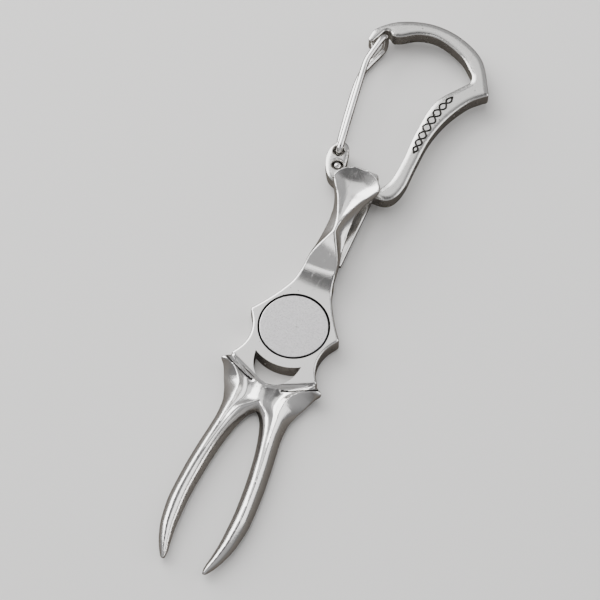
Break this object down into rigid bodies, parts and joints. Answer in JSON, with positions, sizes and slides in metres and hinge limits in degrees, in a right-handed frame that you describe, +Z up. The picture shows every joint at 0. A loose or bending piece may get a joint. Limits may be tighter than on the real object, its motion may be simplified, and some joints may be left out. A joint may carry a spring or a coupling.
{
  "type": "divot repair tool",
  "caption": "Pocket golf divot repair fork in polished silver, with a magnetic ball marker in its plate and a wire-gate carabiner hung from a bail behind its head.",
  "frame": {"origin": "middle of the footprint, on the surface that the tool lies on face up", "axes": "+Y from the fork's tips towards the carabiner, +Z up out of the marker's face, +X to the right"},
  "size_m": [0.0302, 0.139, 0.0098],
  "materials": {
    "polished_silver": "polished sterling silver with fine handling scratches and a little dark oxide in the grooves",
    "satin_silver": "sterling silver, fine satin finish",
    "plain_steel": "plain mild steel",
    "nickel_plate": "nickel-plated neodymium magnet",
    "epoxy": "cured clear amber epoxy"
  },
  "bodies": {
    "fork": {"fork_casting": "polished_silver", "rear_bail": "polished_silver", "magnet_adhesive": "epoxy", "seat_magnet": "nickel_plate"},
    "marker": {"ball_marker": "satin_silver", "marker_keeper": "plain_steel"},
    "carabiner": {"carabiner_body": "polished_silver"},
    "gate": {"wire_gate": "polished_silver"}
  },
  "joints": [
    {"name": "carabiner_swing", "type": "hinge", "parent": "fork", "child": "carabiner", "pos_m": [-0.0026, 0.02417, 0.00365], "axis": [1, 0, 0], "range_deg": [-150, 50]},
    {"name": "gate_hinge", "type": "hinge", "parent": "carabiner", "child": "gate", "pos_m": [-0.0095, 0.02917, 0.00365], "axis": [0, 0, -1], "range_deg": [0, 18], "stiffness_Nm_per_rad": 0.2, "springref_deg": -8.59},
    {"name": "marker_lift", "type": "slide", "parent": "fork", "child": "marker", "axis": [0, 0, 1], "range_m": [0, 0.015]}
  ]
}
